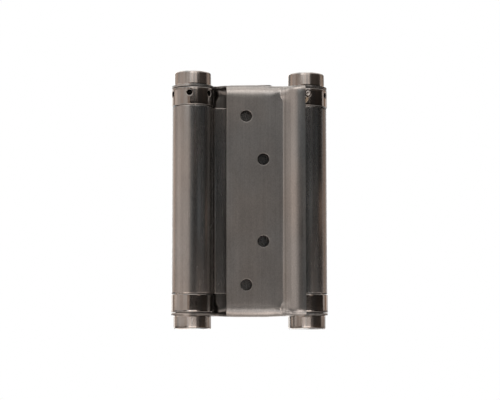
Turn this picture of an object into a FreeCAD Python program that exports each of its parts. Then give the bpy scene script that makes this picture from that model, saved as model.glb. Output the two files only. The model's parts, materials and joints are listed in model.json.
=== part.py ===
"""Double action cafe hinge: two sheet leaves, two sprung barrels, one centre web.

Millimetres. X runs across the two barrels, +Z is up along both barrel axes and the
viewer's side is -Y. The origin is on the surface that the two lower caps stand on,
midway between the barrels. The door leaf belongs to the right barrel and faces -Y, the
frame leaf belongs to the left barrel and faces +Y, and the web joins the two tubes.
"""

import FreeCAD, Part
import math
import os

import Sketcher

os.makedirs("parts", exist_ok=True)
doc = FreeCAD.newDocument("cafe_hinge")
Vector, Placement, Rotation = FreeCAD.Vector, FreeCAD.Placement, FreeCAD.Rotation

# ---------------------------------------------------------------- driving sizes
SIZES = [
    ("axis_half", 25.0),  # half the distance between the two barrel axes
    ("total_tall", 112.2),  # over both caps
    ("cap_tall", 6.1),
    ("cap_rad", 8.15),
    ("cap_crown_rad", 8.05),  # slight draft towards the crown
    ("cap_round", 0.8),
    ("cap_foot_break", 0.15),
    ("leaf_sheet", 0.9),
    ("leaf_face", 4.0),  # outer face of a leaf to the hinge's mid plane
    ("free_edge", 10.4),
    ("crease_rad", 1.0),
    ("wrap_rad", 10.6),
    ("bend_rad", 2.1),
    ("door_wrap_end", 261.5),
    ("frame_wrap_end", 250.6),
    ("ear_rad", 9.15),
    ("ear_trim", 0.2),
    ("neck_rad", 3.5),
    ("screw_rad", 2.55),
    ("screw_sink", 0.5),
    ("outer_pair", 73.8),
    ("inner_pair", 35.9),
    ("outer_column", 8.6),  # from the free edge
    ("inner_column", 16.1),
    ("web_sheet", 1.0),
    ("web_half", 0.5),
    ("tube_rad", 9.0),
    ("web_bend", 1.6),
    ("seam_end", 3.0),
    ("ring_gap", 0.25),
    ("tube_gap", 0.3),
    ("ring_tall", 7.8),
    ("collar_rad", 9.3),
    ("plug_rad", 9.2),
    ("ring_break", 0.4),
    ("spigot_tall", 6.0),
    ("collar_spigot_rad", 7.7),
    ("pintle_rad", 3.0),
    ("pintle_fit", 0.02),
    ("pintle_run", 0.06),
    ("pintle_seat", 4.6),
    ("pintle_break", 0.4),
    ("washer_rad", 7.4),
    ("washer_thick", 0.2),
    ("tommy_rad", 1.18),
    ("tommy_drop", 2.6),
    ("tommy_floor", 4.9),
    ("pin_rad", 1.1),
    ("pin_inner", 5.2),
    ("pin_outer", 11.0),
    ("pin_round", 0.35),
    ("door_pin_turn", 268.4),
    ("frame_pin_turn", 77.5),
    ("wire_rad", 1.0),
    ("coil_rad", 6.0),
    ("coil_pitch", 2.5),
    ("coil_turns", 27.0),
    ("tang_tall", 5.0),
    ("tang_bore", 1.2),
]
sheet = doc.addObject("Spreadsheet::Sheet", "Sizes")
for row, (alias, value) in enumerate(SIZES, 1):
    sheet.set("A%d" % row, alias)
    sheet.set("B%d" % row, "%.4f" % value)
    sheet.setAlias("B%d" % row, alias)
doc.recompute()


class Size:
    """A value together with the expression that reads it from the sheet."""

    def __init__(self, text, value):
        self.text, self.value = text, float(value)

    def _pair(self, other, sign, work, swap=False):
        if not isinstance(other, Size):
            other = Size("%.6f" % other if other >= 0 else "(%.6f)" % other, other)
        a, b = (other, self) if swap else (self, other)
        return Size("(%s %s %s)" % (a.text, sign, b.text), work(a.value, b.value))

    def __add__(self, other):
        return self._pair(other, "+", lambda a, b: a + b)

    def __radd__(self, other):
        return self._pair(other, "+", lambda a, b: a + b, True)

    def __sub__(self, other):
        return self._pair(other, "-", lambda a, b: a - b)

    def __rsub__(self, other):
        return self._pair(other, "-", lambda a, b: a - b, True)

    def __mul__(self, other):
        return self._pair(other, "*", lambda a, b: a * b)

    def __rmul__(self, other):
        return self._pair(other, "*", lambda a, b: a * b, True)

    def __truediv__(self, other):
        return self._pair(other, "/", lambda a, b: a / b)

    def __neg__(self):
        return Size("(0 - %s)" % self.text, -self.value)


def size(alias):
    return Size("Sizes." + alias, sheet.get(alias))


def cosine(angle):
    return Size("cos(%s)" % angle.text, math.cos(math.radians(angle.value)))


def sine(angle):
    return Size("sin(%s)" % angle.text, math.sin(math.radians(angle.value)))


def root(number):
    return Size("sqrt(%s)" % number.text, math.sqrt(number.value))


def fixed(number):
    return Size("%.6f" % number if number >= 0 else "(%.6f)" % number, number)


ZERO = fixed(0.0)


# ---------------------------------------------------------------- helpers
def bind(obj, prop, value):
    obj.setExpression(prop, value.text)


def new_body(name):
    body = doc.addObject("PartDesign::Body", name)
    body.Label = name
    return body


def origin_part(body, role):
    return next(o for o in body.Origin.OriginFeatures if o.Role == role)


def place_body(body, x, turn=0.0):
    body.Placement = Placement(Vector(x.value, 0, 0), Rotation(Vector(0, 0, 1), turn))
    bind(body, "Placement.Base.x", x)


def new_sketch(body, name, role, offset=None):
    sk = body.newObject("Sketcher::SketchObject", name)
    sk.AttachmentSupport = [(origin_part(body, role), "")]
    sk.MapMode = "FlatFace"
    if offset is not None:
        sk.AttachmentOffset = Placement(Vector(0, 0, offset.value), Rotation())
        bind(sk, "AttachmentOffset.Base.z", offset)
    return sk


def drive(sk, kind, args, value):
    index = sk.addConstraint(Sketcher.Constraint(kind, *args, value.value))
    sk.setExpression("Constraints[%d]" % index, value.text)


def outline(sk, segments):
    """Closed outline. Each segment is (start point,) for a line or
    (start point, centre, radius, +1 or -1) for an arc run anticlockwise or clockwise;
    every corner is pinned by its two sizes and every arc by its radius."""
    count = len(segments)
    ends = []
    for i, seg in enumerate(segments):
        p, q = seg[0], segments[(i + 1) % count][0]
        pv, qv = Vector(p[0].value, p[1].value, 0), Vector(q[0].value, q[1].value, 0)
        if len(seg) == 1:
            geo = sk.addGeometry(Part.LineSegment(pv, qv), False)
            ends.append((geo, 1, 2))
        else:
            centre = Vector(seg[1][0].value, seg[1][1].value, 0)
            first, last = (pv, qv) if seg[3] > 0 else (qv, pv)
            a0 = math.atan2(first.y - centre.y, first.x - centre.x)
            a1 = math.atan2(last.y - centre.y, last.x - centre.x)
            if a1 <= a0:
                a1 += 2 * math.pi
            circle = Part.Circle(centre, Vector(0, 0, 1), seg[2].value)
            geo = sk.addGeometry(Part.ArcOfCircle(circle, a0, a1), False)
            ends.append((geo, 1, 2) if seg[3] > 0 else (geo, 2, 1))
    for i in range(count):
        here, after = ends[i], ends[(i + 1) % count]
        sk.addConstraint(Sketcher.Constraint("Coincident", here[0], here[2], after[0], after[1]))
    for i, seg in enumerate(segments):
        geo, start = ends[i][0], ends[i][1]
        drive(sk, "DistanceX", (-1, 1, geo, start), seg[0][0])
        drive(sk, "DistanceY", (-1, 1, geo, start), seg[0][1])
        if len(seg) > 1:
            drive(sk, "Radius", (geo,), seg[2])


def circle(sk, x, y, rad):
    geo = sk.addGeometry(Part.Circle(Vector(x.value, y.value, 0), Vector(0, 0, 1), rad.value), False)
    drive(sk, "DistanceX", (-1, 1, geo, 3), x)
    drive(sk, "DistanceY", (-1, 1, geo, 3), y)
    drive(sk, "Radius", (geo,), rad)


def pad(body, name, sk, length, back=False):
    f = body.newObject("PartDesign::Pad", name)
    f.Profile = sk
    f.Length = length.value
    bind(f, "Length", length)
    f.Reversed = back
    body.Tip = f
    doc.recompute()
    return f


def pocket(body, name, sk, length, back=False):
    before = body.Shape.Volume
    f = body.newObject("PartDesign::Pocket", name)
    f.Profile = sk
    f.Length = length.value
    bind(f, "Length", length)
    f.Reversed = back
    body.Tip = f
    doc.recompute()
    if not body.Shape.Volume < before - 1e-3:
        raise RuntimeError("%s cuts nothing" % name)
    return f


def revolve(body, name, sk):
    f = body.newObject("PartDesign::Revolution", name)
    f.Profile = sk
    f.ReferenceAxis = (sk, ["V_Axis"])
    f.Angle = 360.0
    body.Tip = f
    doc.recompute()
    return f


def dress(body, kind, name, edges, amount):
    """Fillet or chamfer the named edges of the body's present shape."""
    base = body.Tip
    f = body.newObject("PartDesign::" + kind, name)
    f.Base = (base, edges)
    if kind == "Fillet":
        f.Radius = amount.value
        bind(f, "Radius", amount)
    else:
        f.Size = amount.value
        bind(f, "Size", amount)
    body.Tip = f
    doc.recompute()
    return f


def edges_where(shape, test):
    return ["Edge%d" % (i + 1) for i, e in enumerate(shape.Edges) if test(e)]


def middle(edge):
    return edge.valueAt((edge.FirstParameter + edge.LastParameter) / 2.0)


# ---------------------------------------------------------------- shared levels
axis_half = size("axis_half")
total = size("total_tall")
cap_tall = size("cap_tall")
t_leaf = size("leaf_sheet")
t_web = size("web_sheet")
ear_low = cap_tall  # outer face of the lower ear
ear_high = total - cap_tall
plug_low = ear_low + t_leaf + size("ring_gap")
plug_high = plug_low + size("ring_tall")
collar_high = ear_high - t_leaf - size("ring_gap")
collar_low = collar_high - size("ring_tall")
web_low = plug_high + size("tube_gap")
web_high = collar_low - size("tube_gap")
tube_in = size("tube_rad") - t_web


# ---------------------------------------------------------------- leaves
def leaf(name, wrap_end, turned):
    """One folded sheet: flat face, crease, quarter wrap, and an ear at each end that is
    bent over to carry the pintle. Built for the door side, turned half round for the frame side."""
    body = new_body(name)
    face, edge = size("leaf_face"), size("free_edge")
    rc, rw = size("crease_rad"), size("wrap_rad")
    reach = rw + rc
    drop = face + rc  # depth of the crease's centre in front of the mid plane
    run = root(reach * reach - drop * drop)
    crease_x = axis_half - run
    trim = size("ear_trim")

    def skin(deep):
        """Corners of the front skin, offset inwards by deep."""
        k = rw - deep
        touch = (axis_half - run * k / reach, -(drop * k / reach))
        end = (axis_half + k * cosine(wrap_end), k * sine(wrap_end))
        return k, touch, end

    # solid block inside the outer skin
    k, touch, end = skin(ZERO)
    sk = new_sketch(body, name + "_blank_outline", "XY_Plane", ear_low)
    outline(
        sk,
        [
            ((-edge, -face),),
            ((crease_x, -face), (crease_x, -drop), rc, -1),
            (touch, (axis_half, ZERO), k, 1),
            (end,),
            ((axis_half, ZERO),),
            ((axis_half - 7.0, -trim),),
            ((-edge, -trim),),
        ],
    )
    pad(body, name + "_blank", sk, ear_high - ear_low)
    low, high = ear_low.value, ear_high.value

    def on_skin(e, skin_rad, skin_face, crease_r, levels):
        p = middle(e)
        if min(abs(p.z - z) for z in levels) > 0.02 or e.BoundBox.ZLength > 0.02:
            return False
        r = math.hypot(p.x - axis_half.value, p.y)
        c = math.hypot(p.x - crease_x.value, p.y + drop.value)
        return abs(r - skin_rad) < 0.02 or abs(p.y + skin_face) < 0.02 or abs(c - crease_r) < 0.02

    # hollow behind the skin, then the inside of the folds
    k, touch, end = skin(t_leaf)
    far = wrap_end + 14.0
    sk = new_sketch(body, name + "_hollow_outline", "XY_Plane", ear_low + t_leaf)
    outline(
        sk,
        [
            ((-edge - 2.0, -(face - t_leaf)),),
            ((crease_x, -(face - t_leaf)), (crease_x, -drop), rc + t_leaf, -1),
            (touch, (axis_half, ZERO), k, 1),
            ((axis_half + k * cosine(far), k * sine(far)),),
            ((axis_half + 4.0, fixed(4.0)),),
            ((-edge - 2.0, fixed(4.0)),),
        ],
    )
    pocket(body, name + "_hollow", sk, ear_high - ear_low - 2.0 * t_leaf, back=True)
    inner = (low + t_leaf.value, high - t_leaf.value)
    names = edges_where(
        body.Shape,
        lambda e: on_skin(
            e,
            rw.value - t_leaf.value,
            face.value - t_leaf.value,
            rc.value + t_leaf.value,
            inner,
        ),
    )
    dress(body, "Fillet", name + "_inner_bends", names, size("bend_rad") - t_leaf)

    # outside of the folds
    names = edges_where(
        body.Shape, lambda e: on_skin(e, rw.value, face.value, rc.value, (low, high))
    )
    dress(body, "Fillet", name + "_outer_bends", names, size("bend_rad"))

    # ear discs with their necks
    re, rn = size("ear_rad"), size("neck_rad")
    lift = rn - trim
    span = root((re + rn) * (re + rn) - lift * lift)
    neck_x = axis_half - span
    meet = (axis_half - span * re / (re + rn), lift * re / (re + rn))
    for tag, level in (("lower", ear_low), ("upper", ear_high - t_leaf)):
        sk = new_sketch(body, "%s_%s_ear_outline" % (name, tag), "XY_Plane", level)
        outline(
            sk,
            [
                ((neck_x, -trim), (neck_x, lift), rn, 1),
                (meet, (axis_half, ZERO), re, -1),
                ((axis_half + re * cosine(wrap_end), re * sine(wrap_end)),),
                ((axis_half, ZERO),),
                ((axis_half - 7.0, -trim),),
            ],
        )
        pad(body, "%s_%s_ear" % (name, tag), sk, t_leaf)

    # pintle holes through both ears
    sk = new_sketch(body, name + "_pintle_centre", "XY_Plane", ear_low - 1.0)
    circle(sk, axis_half, ZERO, size("pintle_rad") + size("pintle_fit"))
    pocket(body, name + "_pintle_holes", sk, ear_high - ear_low + 2.0, back=True)

    # four screw holes, eased on the inner face where the heads sit
    sk = new_sketch(body, name + "_screw_centres", "XZ_Plane", face + 1.0)
    centre = total / 2.0
    for pair, column in (("outer_pair", "outer_column"), ("inner_pair", "inner_column")):
        for sign in (-1.0, 1.0):
            circle(
                sk,
                size(column) - edge,
                centre + size(pair) * (sign / 2.0),
                size("screw_rad"),
            )
    pocket(body, name + "_screw_holes", sk, fixed(2.5))
    inner_y = -(face.value - t_leaf.value)
    names = edges_where(
        body.Shape,
        lambda e: e.Curve.TypeId == "Part::GeomCircle"
        and abs(e.Curve.Radius - size("screw_rad").value) < 0.01
        and abs(middle(e).y - inner_y) < 0.01,
    )
    if len(names) < 4:
        raise RuntimeError("screw hole edges not found on %s" % name)
    dress(body, "Chamfer", name + "_screw_sinks", names, size("screw_sink"))
    if turned:
        body.Placement = Placement(Vector(0, 0, 0), Rotation(Vector(0, 0, 1), 180))
    return body


leaf("door_leaf", size("door_wrap_end"), False)
leaf("frame_leaf", size("frame_wrap_end"), True)


# ---------------------------------------------------------------- centre web
def web():
    """One sheet: flat between the leaves and rolled at each side into a spring tube."""
    body = new_body("centre_web")
    ro, ri, rb = size("tube_rad"), tube_in, size("web_bend")
    half = size("web_half")
    seam = size("seam_end")
    reach = ro + rb
    drop = half + rb
    run = root(reach * reach - drop * drop)
    left, right = -axis_half, axis_half

    def at(side, x, y):
        """A corner given from the left barrel, or the same one turned half round."""
        return (left + x, y) if side < 0 else (right - x, -y)

    segs = []
    for side in (-1, 1):
        axis = (left, ZERO) if side < 0 else (right, ZERO)
        bend = at(side, run, -drop)
        segs += [
            (at(side, run, -half), bend, rb, 1),
            (at(side, run * ro / reach, -(drop * ro / reach)), axis, ro, -1),
            (at(side, ro * cosine(seam), ro * sine(seam)),),
            (at(side, ri * cosine(seam), ri * sine(seam)), axis, ri, 1),
            (at(side, run * ri / reach, -(drop * ri / reach)), bend, rb + t_web, -1),
            (at(side, run, half),),
        ]
    sk = new_sketch(body, "web_outline", "XY_Plane", web_low)
    outline(sk, segs)
    pad(body, "web_sheet", sk, web_high - web_low)
    return body


web()


# ---------------------------------------------------------------- turned pieces
def turned(name, x, corners, turn=0.0):
    """A piece revolved about its own barrel axis from (radius, height) corners."""
    body = new_body(name)
    sk = new_sketch(body, name + "_section", "XZ_Plane")
    outline(sk, [(c,) for c in corners])
    revolve(body, name + "_turning", sk)
    place_body(body, x, turn)
    return body


def rim_edges(shape, rad, levels):
    return edges_where(
        shape,
        lambda e: e.Curve.TypeId == "Part::GeomCircle"
        and abs(e.Curve.Radius - rad) < 0.01
        and min(abs(e.Curve.Center.z - z) for z in levels) < 0.02,
    )


def tip_shape(body):
    """The body's present shape in its own frame."""
    return body.Tip.Shape


def cap(name, x, upper):
    rad, crown = size("cap_rad"), size("cap_crown_rad")
    bore, seat = size("pintle_rad") + size("pintle_fit"), size("pintle_seat")
    if upper:
        foot, head, floor = ear_high, total, ear_high + seat
    else:
        foot, head, floor = ear_low, ZERO, ear_low - seat
    corners = [
        (bore, foot),
        (rad, foot),
        (crown, head),
        (ZERO, head),
        (ZERO, floor),
        (bore, floor),
    ]
    body = turned(name, x, corners)
    dress(body, "Fillet", name + "_crown", rim_edges(tip_shape(body), crown.value, (head.value,)), size("cap_round"))
    dress(body, "Fillet", name + "_foot", rim_edges(tip_shape(body), rad.value, (foot.value,)), size("cap_foot_break"))
    return body


def tang_hole(body, name, level, depth, down):
    sk = new_sketch(body, name + "_tang_centre", "XY_Plane", level)
    circle(sk, size("coil_rad"), ZERO, size("tang_bore"))
    pocket(body, name + "_tang_hole", sk, depth, back=not down)


def collar(name, x, pin_turn):
    """Tension collar: a ring with six tommy holes, and a spigot that holds the spring's end."""
    bore = size("pintle_rad") + size("pintle_run")
    rad, spigot = size("collar_rad"), size("collar_spigot_rad")
    foot = collar_low - size("spigot_tall")
    turn = pin_turn - 270.0
    body = turned(
        name,
        x,
        [
            (bore, foot),
            (spigot, foot),
            (spigot, collar_low),
            (rad, collar_low),
            (rad, collar_high),
            (bore, collar_high),
        ],
    )
    body.Placement = Placement(Vector(x.value, 0, 0), Rotation(Vector(0, 0, 1), turn.value))
    bind(body, "Placement.Base.x", x)
    dress(
        body,
        "Fillet",
        name + "_edges",
        rim_edges(tip_shape(body), rad.value, (collar_low.value, collar_high.value)),
        size("ring_break"),
    )
    reach = rad + 1.0
    sk = new_sketch(body, name + "_tommy_centre", "XZ_Plane", reach)
    circle(sk, ZERO, collar_high - size("tommy_drop"), size("tommy_rad"))
    hole = pocket(body, name + "_tommy_hole", sk, reach - size("tommy_floor"))
    ring = body.newObject("PartDesign::PolarPattern", name + "_tommy_holes")
    ring.Originals = [hole]
    ring.Axis = (origin_part(body, "Z_Axis"), [""])
    ring.Angle = 360.0
    ring.Occurrences = 6
    body.Tip = ring
    doc.recompute()
    tang_hole(body, name, foot, size("spigot_tall") - 0.5, False)
    return body


def plug(name, x):
    """Anchor plug: the plain lower ring, fixed in the tube, that holds the spring's other end."""
    bore = size("pintle_rad") + size("pintle_run")
    rad = size("plug_rad")
    head = plug_high + size("spigot_tall")
    body = turned(
        name,
        x,
        [
            (bore, plug_low),
            (rad, plug_low),
            (rad, plug_high),
            (tube_in, plug_high),
            (tube_in, head),
            (bore, head),
        ],
    )
    dress(
        body,
        "Fillet",
        name + "_edges",
        rim_edges(tip_shape(body), rad.value, (plug_low.value, plug_high.value)),
        size("ring_break"),
    )
    tang_hole(body, name, head, size("spigot_tall") - 0.5, True)
    return body


def pintle(name, x):
    rad, cut = size("pintle_rad"), size("pintle_break")
    low, high = ear_low - size("pintle_seat") + 0.1, ear_high + size("pintle_seat") - 0.1
    return turned(
        name,
        x,
        [
            (ZERO, low),
            (rad - cut, low),
            (rad, low + cut),
            (rad, high - cut),
            (rad - cut, high),
            (ZERO, high),
        ],
    )


def washer(name, x, low):
    inner, outer = size("pintle_rad") + size("pintle_run"), size("washer_rad")
    high = low + size("washer_thick")
    return turned(name, x, [(inner, low), (outer, low), (outer, high), (inner, high)])


def stop_pin(name, x, turn):
    """Loose pin in one tommy hole; its outer end bears on the edge of the leaf's wrap."""
    body = new_body(name)
    sk = new_sketch(body, name + "_round", "XZ_Plane", size("pin_outer"))
    circle(sk, ZERO, collar_high - size("tommy_drop"), size("pin_rad"))
    pad(body, name + "_rod", sk, size("pin_outer") - size("pin_inner"), back=True)
    names = edges_where(
        tip_shape(body), lambda e: e.Curve.TypeId == "Part::GeomCircle" and e.BoundBox.YLength < 0.01
    )
    dress(body, "Fillet", name + "_ends", names, size("pin_round"))
    body.Placement = Placement(Vector(x.value, 0, 0), Rotation(Vector(0, 0, 1), turn.value - 270.0))
    bind(body, "Placement.Base.x", x)
    return body


def spring(name, x, start_turn):
    """Torsion spring: a round wire helix with an axial tang at each end."""
    rad, wire = size("coil_rad"), size("wire_rad")
    low = plug_high + size("spigot_tall") + wire + 0.3
    tall = size("coil_pitch") * size("coil_turns")
    helix = doc.addObject("Part::Helix", name + "_path")
    for prop, value in (("Pitch", size("coil_pitch")), ("Height", tall), ("Radius", rad)):
        setattr(helix, prop, value.value)
        bind(helix, prop, value)
    helix.Placement = Placement(Vector(0, 0, low.value), Rotation())
    bind(helix, "Placement.Base.z", low)
    ring = doc.addObject("Part::Circle", name + "_wire")
    ring.Radius = wire.value
    bind(ring, "Radius", wire)
    lead = math.degrees(math.atan2(size("coil_pitch").value, 2 * math.pi * rad.value))
    ring.Placement = Placement(
        Vector(rad.value, 0, low.value), Rotation(Vector(1, 0, 0), 90.0 + lead)
    )
    bind(ring, "Placement.Base.x", rad)
    bind(ring, "Placement.Base.z", low)
    doc.recompute()
    coil = doc.addObject("Part::Sweep", name + "_coil")
    coil.Sections = [ring]
    coil.Spine = (helix, ["Edge%d" % (i + 1) for i in range(len(helix.Shape.Edges))])
    coil.Solid = True
    coil.Frenet = True
    pieces = [coil]
    for tag, level, back in (("lower", low, True), ("upper", low + tall, False)):
        tang = doc.addObject("Part::Cylinder", "%s_%s_tang" % (name, tag))
        tang.Radius = wire.value
        bind(tang, "Radius", wire)
        tang.Height = size("tang_tall").value
        bind(tang, "Height", size("tang_tall"))
        base = level - size("tang_tall") if back else level
        tang.Placement = Placement(Vector(rad.value, 0, base.value), Rotation())
        bind(tang, "Placement.Base.x", rad)
        bind(tang, "Placement.Base.z", base)
        knee = doc.addObject("Part::Sphere", "%s_%s_knee" % (name, tag))
        knee.Radius = wire.value
        bind(knee, "Radius", wire)
        knee.Placement = Placement(Vector(rad.value, 0, level.value), Rotation())
        bind(knee, "Placement.Base.x", rad)
        bind(knee, "Placement.Base.z", level)
        pieces += [tang, knee]
    whole = doc.addObject("Part::MultiFuse", name)
    whole.Label = name
    whole.Shapes = pieces
    whole.Placement = Placement(Vector(x.value, 0, 0), Rotation(Vector(0, 0, 1), start_turn))
    bind(whole, "Placement.Base.x", x)
    doc.recompute()
    return whole


washer_low_level = ear_low + t_leaf
washer_high_level = ear_high - t_leaf - size("washer_thick")
for side, x, pin_turn in (
    ("left", -axis_half, size("frame_pin_turn")),
    ("right", axis_half, size("door_pin_turn")),
):
    cap(side + "_top_cap", x, True)
    cap(side + "_bottom_cap", x, False)
    pintle(side + "_pintle", x)
    washer(side + "_top_washer", x, washer_high_level)
    washer(side + "_bottom_washer", x, washer_low_level)
    collar(side + "_tension_collar", x, pin_turn)
    stop_pin(side + "_stop_pin", x, pin_turn)
    plug(side + "_anchor_plug", x)
    # the spring's upper tang stands in the collar's hole, so both are turned alike
    spring(side + "_spring", x, pin_turn.value - 270.0)
    doc.getObject(side + "_anchor_plug").Placement = Placement(
        Vector(x.value, 0, 0), Rotation(Vector(0, 0, 1), pin_turn.value - 270.0)
    )

doc.recompute()

# ---------------------------------------------------------------- checks and files
NODES = ["door_leaf", "frame_leaf", "centre_web"] + [
    "%s_%s" % (side, piece)
    for side in ("left", "right")
    for piece in (
        "pintle",
        "top_cap",
        "bottom_cap",
        "top_washer",
        "bottom_washer",
        "tension_collar",
        "stop_pin",
        "anchor_plug",
        "spring",
    )
]
bad = [o.Name for o in doc.Objects if "Invalid" in o.State or "Error" in o.State]
if bad:
    raise RuntimeError("objects failed: %s" % bad)
for node in NODES:
    shape = doc.getObject(node).Shape
    if shape.isNull() or not shape.isValid() or len(shape.Solids) != 1:
        raise RuntimeError(
            "%s is not one valid solid: null %s, valid %s, solids %d"
            % (node, shape.isNull(), shape.isNull() or shape.isValid(), len(shape.Solids))
        )
for node in NODES:
    shape = doc.getObject(node).Shape
    box = shape.BoundBox
    shape.exportStep("parts/%s.step" % node)
    print(
        "%-22s %9.1f mm3  x %.2f %.2f  y %.2f %.2f  z %.2f %.2f"
        % (node, shape.Volume, box.XMin, box.XMax, box.YMin, box.YMax, box.ZMin, box.ZMax)
    )
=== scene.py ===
import json
import math

import bmesh
import bpy
import numpy as np
from mathutils import Matrix, Vector
from mathutils.geometry import delaunay_2d_cdt

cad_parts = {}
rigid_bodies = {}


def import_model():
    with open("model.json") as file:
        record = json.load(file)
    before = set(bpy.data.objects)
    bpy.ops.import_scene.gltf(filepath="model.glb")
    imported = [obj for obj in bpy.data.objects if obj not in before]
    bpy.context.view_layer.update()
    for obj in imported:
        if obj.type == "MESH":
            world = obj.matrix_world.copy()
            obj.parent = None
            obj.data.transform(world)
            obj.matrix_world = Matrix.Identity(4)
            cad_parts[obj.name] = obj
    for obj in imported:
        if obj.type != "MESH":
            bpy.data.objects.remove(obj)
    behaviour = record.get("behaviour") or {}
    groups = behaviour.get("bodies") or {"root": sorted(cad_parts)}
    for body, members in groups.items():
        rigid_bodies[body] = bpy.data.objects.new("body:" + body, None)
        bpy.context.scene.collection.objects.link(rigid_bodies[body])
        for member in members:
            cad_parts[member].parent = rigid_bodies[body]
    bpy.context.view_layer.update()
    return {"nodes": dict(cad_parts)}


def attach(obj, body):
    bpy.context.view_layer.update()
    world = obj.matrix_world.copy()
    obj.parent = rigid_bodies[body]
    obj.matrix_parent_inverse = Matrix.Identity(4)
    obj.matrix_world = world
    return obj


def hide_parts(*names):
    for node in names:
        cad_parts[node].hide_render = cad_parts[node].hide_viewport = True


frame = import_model()
scene = bpy.context.scene
scene.view_settings.view_transform = "Standard"
scene.view_settings.look = "None"
scene.view_settings.exposure = 0.0
scene.view_settings.gamma = 1.0

MM = 0.001
AXIS = 25.0  # barrel axes at x = -25 and +25
FACE = 4.0  # outer face of a leaf
SHEET = 0.9
EDGE = 10.4  # free edge of a leaf
WRAP = 10.6  # outer radius of the wrap
BEND_X = 12.0  # where a leaf's flat begins to bend up to its wrap
RAMP = 47.0  # how steeply it meets the wrap, degrees
EAR_TOP = 106.1
EAR_LOW = 6.1
TRIM = 0.2  # ear lip to the mid plane
MID = 56.1


# ------------------------------------------------------------------ helpers
def smooth(t):
    t = min(1.0, max(0.0, t))
    return t * t * (3 - 2 * t)


def table(points, x):
    """Smooth curve through (x, value) points."""
    if x <= points[0][0]:
        return points[0][1]
    for (a, va), (b, vb) in zip(points, points[1:]):
        if x <= b:
            return va + (vb - va) * smooth((x - a) / (b - a))
    return points[-1][1]


def new_object(name, verts, faces, scale=MM):
    mesh = bpy.data.meshes.new(name)
    mesh.from_pydata([(x * scale, y * scale, z * scale) for x, y, z in verts], [], faces)
    mesh.validate()
    obj = bpy.data.objects.new(name, mesh)
    scene.collection.objects.link(obj)
    return obj


def shade(obj, angle=None):
    obj.data.polygons.foreach_set("use_smooth", [True] * len(obj.data.polygons))
    if angle is not None:
        bpy.context.view_layer.objects.active = obj
        obj.select_set(True)
        bpy.ops.object.shade_smooth_by_angle(angle=math.radians(angle))
        obj.select_set(False)


def apply_all(obj):
    """Makes the modifiers' result the object's own mesh."""
    dg = bpy.context.evaluated_depsgraph_get()
    mesh = bpy.data.meshes.new_from_object(obj.evaluated_get(dg))
    obj.modifiers.clear()
    obj.data = mesh


class Nodes:
    """Small helper that builds a material's node tree."""

    def __init__(self, name):
        self.mat = bpy.data.materials.new(name)
        self.mat.use_nodes = True
        self.tree = self.mat.node_tree
        self.bsdf = next(n for n in self.tree.nodes if n.type == "BSDF_PRINCIPLED")

    def add(self, kind, **props):
        n = self.tree.nodes.new(kind)
        for k, v in props.items():
            setattr(n, k, v)
        return n

    def link(self, a, b):
        self.tree.links.new(a, b)

    def math(self, op, a, b=None, c=None):
        n = self.add("ShaderNodeMath", operation=op)
        for i, v in enumerate((a, b, c)):
            if v is None:
                continue
            if isinstance(v, (int, float)):
                n.inputs[i].default_value = v
            else:
                self.link(v, n.inputs[i])
        return n.outputs[0]

    def noise(self, vector, scale, detail=2.0, rough=0.5):
        n = self.add("ShaderNodeTexNoise")
        n.inputs["Scale"].default_value = scale
        n.inputs["Detail"].default_value = detail
        n.inputs["Roughness"].default_value = rough
        self.link(vector, n.inputs["Vector"])
        return n.outputs["Fac"]

    def ramp(self, fac, stops):
        n = self.add("ShaderNodeValToRGB")
        els = n.color_ramp.elements
        while len(els) < len(stops):
            els.new(0.5)
        for e, (pos, col) in zip(els, stops):
            e.position = pos
            e.color = (*col, 1.0) if len(col) == 3 else col
        self.link(fac, n.inputs[0])
        return n.outputs[0]

    def mapped(self, scale):
        tc = self.add("ShaderNodeTexCoord")
        m = self.add("ShaderNodeMapping")
        m.inputs["Scale"].default_value = scale
        self.link(tc.outputs["Object"], m.inputs["Vector"])
        return m.outputs[0]


def grey(v, tint=(1.0, 1.0, 1.0)):
    return tuple(v * t for t in tint)


PLATED = (1.0, 0.965, 0.935)


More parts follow.
